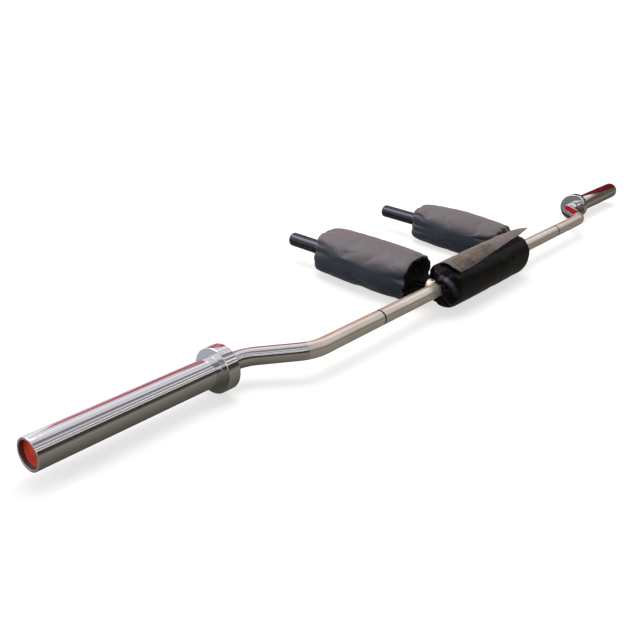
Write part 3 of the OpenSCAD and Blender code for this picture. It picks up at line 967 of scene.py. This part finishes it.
neck_spec = dict(axis="X", start=-183 * MM, end=174 * MM, half_u=49.5 * MM, half_v=51 * MM,
                 centre_u=AXIS_Y, centre_v=AXIS_Z, hole_u=AXIS_Y, hole_v=AXIS_Z,
                 hole_r=NECK_HOLE, power=2.25, rounder=0, crown=0.03, ends=(NECK_NEAR, NECK_FAR),
                 slant=22 * MM, seed=37, waves=1.2 * MM, crumple=1.2 * MM,
                 folds=(gathers(25, 9, 5.5 * MM, 44 * MM), gathers(28, 14, 5 * MM, 40 * MM)),
                 tucks=((math.radians(138), 0.62, 24 * MM, 6 * MM, 5 * MM),))
neck_pad = make_pad("neck_pad", neck_spec, black_nylon, 4 * MM)
finish_piece(neck_pad, "bar", "black_nylon", "neck_pad_cover", "neck_pad_foam")

# %% [markdown]
# ## The closing flap
# A long flap closes the neck cover along its top. It is one sheet, sewn along its back edge
# and held by tape, so it lies on the pad like a strap and not like a hanging cloth. It is
# laid by dropping each point onto the pad, with the far corner lifted as in use.

# %% Flap
FLAP_THICK = 1.5 * MM
FLAP_ROWS = 118
FLAP_COLUMNS = 20
FLAP_START = -194.8
FLAP_END = 199.0
FREE_EDGE = ((-194.8, -16.7), (-190, -27), (-184.5, -33.0), (-143.6, -32.8), (-91.6, -30.3),
             (-41.7, -27.2), (30, -23.2), (124, -16.7), (160, -15.0), (199, -13.5))
HINGE_EDGE = ((-194.8, 14), (-186, 19), (-150, 20), (120, 20), (158, 17), (182, 7),
              (199, -7))

graph = bpy.context.evaluated_depsgraph_get()
neck_tree = BVHTree.FromObject(neck_pad, graph)


def pad_top(x, y):
    """Height of the neck pad's top under a point, held level past its ends."""
    x = min(max(x, -166 * MM), 148 * MM)
    hit = neck_tree.ray_cast(Vector((x, y, 0.3)), Vector((0, 0, -1)))
    return hit[0].z if hit[0] else AXIS_Z


def follow(line, x):
    """Interpolates an edge given as (x, y) pairs in millimetres."""
    return float(np.interp(x, [p[0] for p in line], [p[1] for p in line]))


def flap_point(row, column, lift):
    """Point of the flap's underside at a row along and a column across, raised by lift."""
    x = FLAP_START + (FLAP_END - FLAP_START) * row / FLAP_ROWS
    share = column / FLAP_COLUMNS
    y = follow(HINGE_EDGE, x) + (follow(FREE_EDGE, x) - follow(HINGE_EDGE, x)) * share
    # Gap under the flap, rise of its loose corner and ripple of its cloth, in millimetres.
    gap = (1.5 + 1.4 * min(1, share / 0.3) + 1.2 * math.sin(math.pi * share)
           + 0.3 * math.sin(x / 23) * share)
    rise = 9 * max(0, (x - 118) / 80) ** 1.6 * (0.55 + 0.45 * share)
    ripple = 0.5 * noise.noise(Vector((x / 38, y / 30, 4.2)))
    z = pad_top(x * MM, AXIS_Y + y * MM) + (gap + rise + ripple) * MM + lift
    return Vector((x * MM, AXIS_Y + y * MM, z))


def sheet_mesh(name, point, rows, columns, thick, material):
    """A closed thin sheet from a grid function of (row, column, lift)."""
    low = [point(i, j, 0.0) for i in range(rows + 1) for j in range(columns + 1)]
    high = [point(i, j, thick) for i in range(rows + 1) for j in range(columns + 1)]
    wide = columns + 1
    count = len(low)
    faces = []
    for i in range(rows):
        for j in range(columns):
            a = i * wide + j
            faces.append((a, a + 1, a + wide + 1, a + wide))
            faces.append((count + a, count + a + wide, count + a + wide + 1, count + a + 1))
    rim = ([i * wide for i in range(rows)] + [rows * wide + j for j in range(columns)]
           + [i * wide + columns for i in range(rows, 0, -1)] + list(range(columns, 0, -1)))
    for a, b in zip(rim, rim[1:] + rim[:1]):
        faces.append((a, b, count + b, count + a))
    return make_piece(name, low + high, faces, material, crisp=50)


def edge_length(points):
    return sum((b - a).length for a, b in zip(points, points[1:]))


flap = sheet_mesh("closing_flap", flap_point, FLAP_ROWS, FLAP_COLUMNS, FLAP_THICK, flap_fabric)
flap_long = edge_length([flap_point(i, FLAP_COLUMNS // 2, 0) for i in range(FLAP_ROWS + 1)])
flap_wide = edge_length([flap_point(8, j, 0) for j in range(FLAP_COLUMNS + 1)])
finish_piece(flap, "flap", "flap_fabric", "neck_flap")

# %% [markdown]
# ## Tape, lint and stitches on the flap
# Along the near half of the flap's free edge runs a band of tape that has picked up grey
# and brown lint, and the hook strip is sewn below the same edge. Lint is hundreds of short
# bent hairs lying every way, which Geometry Nodes scatter over the band. The seams are rows
# of stitches along the hem and the sewn edge.

# %% Tape band
BAND_ROWS = 90
BAND_COLUMNS = 14
HOOK_ROWS = 60
HOOK_COLUMNS = 6
HOOK_THICK = 1.0 * MM
LINT_DENSITY = 150000.0


def flap_top(x, share, lift):
    """Point above the flap's top face, x in millimetres and share across it."""
    row = (x - FLAP_START) / (FLAP_END - FLAP_START) * FLAP_ROWS
    return flap_point(row, share * FLAP_COLUMNS, FLAP_THICK + lift)


def band_point(row, column, lift):
    inside = min(row, BAND_ROWS - row, column, BAND_COLUMNS - column) > 0
    return flap_top(-178 + 178 * row / BAND_ROWS, 0.4 + 0.56 * column / BAND_COLUMNS,
                    lift * (1.0 if inside else 0.5) - 0.1 * MM)


def hook_point(row, column, lift):
    return flap_top(-168 + 290 * row / HOOK_ROWS, 0.58 + 0.35 * column / HOOK_COLUMNS,
                    lift - FLAP_THICK - HOOK_THICK)


band = sheet_mesh("lint_tape_band", band_point, BAND_ROWS, BAND_COLUMNS, 1.3 * MM, lint_tape)
finish_piece(band, "flap", "hook_loop_tape")
hook = sheet_mesh("hook_strip", hook_point, HOOK_ROWS, HOOK_COLUMNS, HOOK_THICK, tape_black)
finish_piece(hook, "flap", "hook_loop_tape", "hook_tape")


def lint_tree(material):
    """Scatters short bent hairs over a mesh, nearly flat against it."""
    tree, given = node_group("lint hairs", {"Hairs Per Square Metre": LINT_DENSITY,
                                            "Hair Length": 0.004, "Hair Radius": 0.00009,
                                            "Seed": 6})
    spread = add(tree, "GeometryNodeDistributePointsOnFaces",
                 links={"Mesh": given["Geometry"], "Density": given["Hairs Per Square Metre"],
                        "Seed": given["Seed"]})
    arc = add(tree, "GeometryNodeCurveArc", {"Resolution": 4, "Radius": 0.5,
                                             "Sweep Angle": math.radians(150)}, mode="RADIUS")
    thin = add(tree, "ShaderNodeMath", links={0: given["Hair Radius"],
                                              1: given["Hair Length"]}, operation="DIVIDE")
    circle = add(tree, "GeometryNodeCurvePrimitiveCircle", {"Resolution": 3},
                 {"Radius": thin.outputs[0]}, mode="RADIUS")
    hair = add(tree, "GeometryNodeCurveToMesh", {"Fill Caps": True},
               {"Curve": arc.outputs[0], "Profile Curve": circle.outputs[0]})
    size = add(tree, "FunctionNodeRandomValue", {2: 0.5, 3: 1.4}, {"Seed": given["Seed"]},
               data_type="FLOAT")
    long = add(tree, "ShaderNodeMath", links={0: size.outputs[1], 1: given["Hair Length"]},
               operation="MULTIPLY")
    lay = add(tree, "GeometryNodeInstanceOnPoints",
              links={"Points": spread.outputs["Points"], "Instance": hair.outputs[0],
                     "Rotation": spread.outputs["Rotation"], "Scale": long.outputs[0]})
    spin = add(tree, "FunctionNodeRandomValue", {0: (-0.3, -0.3, 0.0), 1: (0.3, 0.3, 6.283)},
               {"Seed": given["Seed"]}, data_type="FLOAT_VECTOR")
    turn = add(tree, "GeometryNodeRotateInstances",
               links={"Instances": lay.outputs[0], "Rotation": spin.outputs[0]})
    return end_group(tree, turn.outputs[0], material)


lint = plain_from(placed("lint_source", band.data.copy()), lint_tree(edge_thread),
                  "lint_hairs", edge_thread, hairs_per_square_metre=LINT_DENSITY, seed=6)
finish_piece(lint, "flap", "hook_loop_tape")

# %% Flap stitches
stitch_tree = row_tree("stitches", edge_thread)
hem_lines = [[flap_top(x, share, 0.1 * MM) for x in np.linspace(-185, 184, 190)]
             for share in (0.06, 0.955)]
hem_lines += [[flap_top(x, share, 0.1 * MM) for share in np.linspace(0.08, 0.93, 20)]
              for x in (-184, 182)]
flap_stitches = plain_from(line_object("hem_lines", hem_lines), stitch_tree, "flap_stitches",
                           edge_thread, pitch=4.2 * MM, item_length=3.2 * MM,
                           item_width=0.75 * MM, size_variation=0.08)
finish_piece(flap_stitches, "flap", "flap_fabric")

# %% [markdown]
# ## Finishes for the parts that stay as they are
# The bushings, washers, rings, elastics and the loop tape are hidden, and their modelled
# shapes are right as they are. Each still gets the finish of the real thing.

# %% Carried-over nodes
CARRIED = {"inner_bushing": bronze, "outer_bushing": bronze, "inner_washer": spring_steel,
           "outer_washer": spring_steel, "retaining_ring": spring_steel,
           "arm_hem_elastic": elastic_black, "neck_hem_elastic": elastic_black,
           "loop_tape": tape_black}
dressed = 0
for node_name, node in nodes.items():
    for stem, material in CARRIED.items():
        if node_name.startswith(stem):
            for slot in node.material_slots:
                slot.material = material
            dressed += 1
print("carried-over nodes dressed:", dressed)

# %% [markdown]
# ## The floor
# The floor is plain and pale. A camera ray sees it white and it still holds a shadow: it is
# part paint, which the lamps light, and part glow, which grows where they don't reach.

# %% Floor


def plain_shader(name, build):
    """A material of the given build function, which returns the shader socket to show."""
    material = bpy.data.materials.new(name)
    material.use_nodes = True
    tree = material.node_tree
    tree.nodes.remove(tree.nodes["Principled BSDF"])
    tree.links.new(build(tree), tree.nodes["Material Output"].inputs["Surface"])
    return material


def seen_directly(tree):
    """1 for camera, glossy and transmission rays, and 0 for the rest."""
    path = add(tree, "ShaderNodeLightPath").outputs
    first = add(tree, "ShaderNodeMath",
                links={0: path["Is Camera Ray"], 1: path["Is Glossy Ray"]},
                operation="MAXIMUM")
    return add(tree, "ShaderNodeMath",
               links={0: first.outputs[0], 1: path["Is Transmission Ray"]},
               operation="MAXIMUM").outputs[0]


def floor_build(tree):
    """Pale paint with a glow that grows away from the bar, where the lamps don't reach."""
    paint = add(tree, "ShaderNodeBsdfDiffuse", {"Color": linear("#b4b4b4")})
    coords = add(tree, "ShaderNodeTexCoord").outputs["Object"]
    away = add(tree, "ShaderNodeVectorMath", links={0: coords}, operation="LENGTH")
    glow = add(tree, "ShaderNodeMapRange", {"From Min": 1.3, "From Max": 4.5, "To Min": 0.66,
                                            "To Max": 1.0}, {"Value": away.outputs["Value"]})
    strength = add(tree, "ShaderNodeMath", links={0: glow.outputs["Result"],
                                                  1: seen_directly(tree)},
                   operation="MULTIPLY")
    light = add(tree, "ShaderNodeEmission", {"Color": (1, 1, 1, 1)},
                {"Strength": strength.outputs[0]})
    return add(tree, "ShaderNodeAddShader",
               links={0: paint.outputs[0], 1: light.outputs[0]}).outputs[0]


def flat_card(name, corners, material):
    mesh = bpy.data.meshes.new(name)
    mesh.from_pydata(corners, [], [(0, 1, 2, 3)])
    mesh.materials.append(material)
    card = placed(name, mesh)
    return card


flat_card("floor", [(-30, -30, 0), (30, -30, 0), (30, 30, 0), (-30, 30, 0)],
          plain_shader("pale_studio_floor", floor_build))

# %% [markdown]
# ## Cards for the metal to mirror
# Polished metal is only as good as what it mirrors, so the bar gets the surroundings of a
# workshop as plain cards: an olive floor with a painted shadow of the bar under it, a dark wall
# behind the camera, a streaked ceiling, and red cards far off. Cards are seen by reflections
# only. A card's look is a small function that a helper makes, in one colour, graded or streaked.

# %% Card helpers


def plain_card(colour, strength=1.0):
    def build(tree):
        return add(tree, "ShaderNodeEmission",
                   {"Color": linear(colour), "Strength": strength}).outputs[0]
    return build


def graded_card(low, high, stops):
    """Colours in stops across Object Y from low to high."""
    def build(tree):
        coords = add(tree, "ShaderNodeTexCoord").outputs["Object"]
        across = add(tree, "ShaderNodeSeparateXYZ", links={0: coords}).outputs["Y"]
        share = add(tree, "ShaderNodeMapRange", {"From Min": low, "From Max": high},
                    {"Value": across}).outputs["Result"]
        colour = add(tree, "ShaderNodeValToRGB", links={"Fac": share}, stops=stops)
        return add(tree, "ShaderNodeEmission", links={"Color": colour.outputs[0]}).outputs[0]
    return build


def streaked_card(scale, stops):
    """Colours in stops over noise stretched along X."""
    def build(tree):
        streaks = add(tree, "ShaderNodeTexNoise", {"Scale": 1, "Detail": 3},
                      {"Vector": scaled(tree, scale)}).outputs["Fac"]
        colour = add(tree, "ShaderNodeValToRGB", links={"Fac": streaks}, stops=stops)
        return add(tree, "ShaderNodeEmission", links={"Color": colour.outputs[0]}).outputs[0]
    return build


def reflection_card(name, corners, build):
    """A card that only reflections see."""
    card = flat_card(name, corners, plain_shader(name, build))
    card.visible_camera = False
    card.visible_diffuse = False
    card.visible_shadow = False
    card.visible_transmission = False


def level_card(name, x, y, z, build):
    """A card lying level at height z, over a range of x and of y."""
    reflection_card(name, [(x[0], y[0], z), (x[1], y[0], z), (x[1], y[1], z), (x[0], y[1], z)],
                    build)


def upright_card(name, x, y, z, build):
    """A card standing along a line from (x0, y0) to (x1, y1)."""
    reflection_card(name, [(x[0], y[0], z[0]), (x[1], y[1], z[0]), (x[1], y[1], z[1]),
                           (x[0], y[0], z[1])], build)


# %% [markdown]
# ## The floor, walls and ceiling that the metal sees
# The near sleeve's lower half mirrors the floor in front of the bar and the upper half the
# ceiling, with the wall as a dark line between them. The far sleeve and crank mirror what
# stands beyond the bar: red above and olive below.

# %% Cards round the bar
BEFORE_BAR = -1.165
PAST_COLLAR = -0.6
UNDER = SLEEVE_Y + 55 * MM
FLOOR_EDGE = 1.7
LEVEL = 0.3 * MM
WALL = -3.3
WALL_DARK = 0.62
CEILING = 2.6
CEILING_SPLIT = -0.15
RED_SIDE = 2.9
CORNER = (3.6, 1.5)
OLIVE_EDGE = -0.42

level_card("floor_before_end", (-5, BEFORE_BAR), (WALL, FLOOR_EDGE), LEVEL,
           plain_card("#85827c"))
# The card darkens next to the bar: painted shadow of the bar on the floor, seen in the metal.
level_card("floor_under_bar", (BEFORE_BAR, 8), (WALL, UNDER), LEVEL,
           graded_card(SLEEVE_Y - 0.6, UNDER, [(0, "#8f8a82"), (0.76, "#77726a"),
                                               (0.885, "#57544c"), (1, "#262520")]))
level_card("floor_past_collar", (BEFORE_BAR, PAST_COLLAR), (UNDER, FLOOR_EDGE), LEVEL,
           plain_card("#b6bbc4"))
level_card("floor_past_shaft", (PAST_COLLAR, 8), (UNDER, FLOOR_EDGE), LEVEL,
           plain_card("#7c7f80"))
upright_card("low_wall", (-5, 8), (WALL, WALL), (0, WALL_DARK), plain_card("#76716a"))
upright_card("dark_wall", (-5, 8), (WALL, WALL), (WALL_DARK, 2.1), plain_card("#453a36"))
level_card("streaked_ceiling", (-6, 9), (-3.5, CEILING_SPLIT), CEILING,
           streaked_card((0.12, 2.6, 1), [(0.34, "#6b6566"), (0.44, "#98949a"),
                                          (0.5, "#b9b5bc"), (0.56, "#f0ecf4"),
                                          (0.66, "#ffffff")]))
level_card("lavender_ceiling", (-6, 9), (CEILING_SPLIT, 3.4), CEILING,
           streaked_card((0.1, 1.2, 1), [(0.38, "#cfcbd8"), (0.5, "#ffffff")]))
upright_card("strip_light", (-5, 5), (-2.0, -2.25), (2.28, 2.4), plain_card("#fff3da", 2.2))

upright_card("red_far_side", (0.3, 2.3), (RED_SIDE, RED_SIDE), (0.03, 2.3),
             streaked_card((0.5, 1, 1.9), [(0.42, "#bb5258"), (0.6, "#e6b4bb")]))
upright_card("red_far_corner", (2.3, CORNER[0]), (RED_SIDE, CORNER[1]), (0.03, 2.5),
             plain_card("#b3202c"))
level_card("lavender_softbox", (-2.4, -0.2), (0.9, 3.3), 2.5, plain_card("#d4d4ee", 8.0))
upright_card("red_far_end", (CORNER[0], CORNER[0]), (OLIVE_EDGE, CORNER[1]), (0, 1.2),
             plain_card("#6b161f"))
upright_card("olive_far_end", (CORNER[0], CORNER[0]), (-2.5, OLIVE_EDGE), (0, 1.05),
             plain_card("#5e584c"))

# %% [markdown]
# ## Sky and lamps
# The sky is white to look at and dim as a light, so it fills the shadows without washing out
# the blacks. Three soft lamps do the lighting, and none of them shows in the metal.

# %% Sky and lamps
SKY_LIGHT = 0.3

world = bpy.data.worlds.new("studio")
bpy.context.scene.world = world
world.use_nodes = True
sky_tree = world.node_tree
sky = sky_tree.nodes["Background"]
sky.inputs["Color"].default_value = (1, 1, 1, 1)
shown = add(sky_tree, "ShaderNodeMapRange", {"To Min": SKY_LIGHT, "To Max": 1.0},
            {"Value": seen_directly(sky_tree)})
sky_tree.links.new(shown.outputs["Result"], sky.inputs["Strength"])


def area_lamp(name, place, target, width, height, watts, colour):
    data = bpy.data.lights.new(name, "AREA")
    data.shape = "RECTANGLE"
    data.size = width
    data.size_y = height
    data.energy = watts
    data.color = linear(colour)[:3]
    lamp = placed(name, data)
    lamp.location = place
    lamp.rotation_euler = (Vector(target) - Vector(place)).to_track_quat("-Z", "Y").to_euler()
    lamp.visible_camera = False
    lamp.visible_glossy = False


area_lamp("overhead_softbox", (0.3, 0.6, 2.6), (0, 0, 0), 3.2, 2.0, 78, "#fff8f2")
area_lamp("far_side_softbox", (1.2, 3.0, 1.4), (0, 0, 0.05), 3.0, 1.4, 26, "#f3f1ff")
area_lamp("near_end_softbox", (-3.6, 0.9, 1.3), (-1.15, -0.1, 0.05), 1.2, 1.2, 24, "#fff4ee")

# %% [markdown]
# ## Last lines
# Colours are shown as they are, without a film look.

# %% Finish
bpy.context.scene.view_settings.view_transform = "Standard"
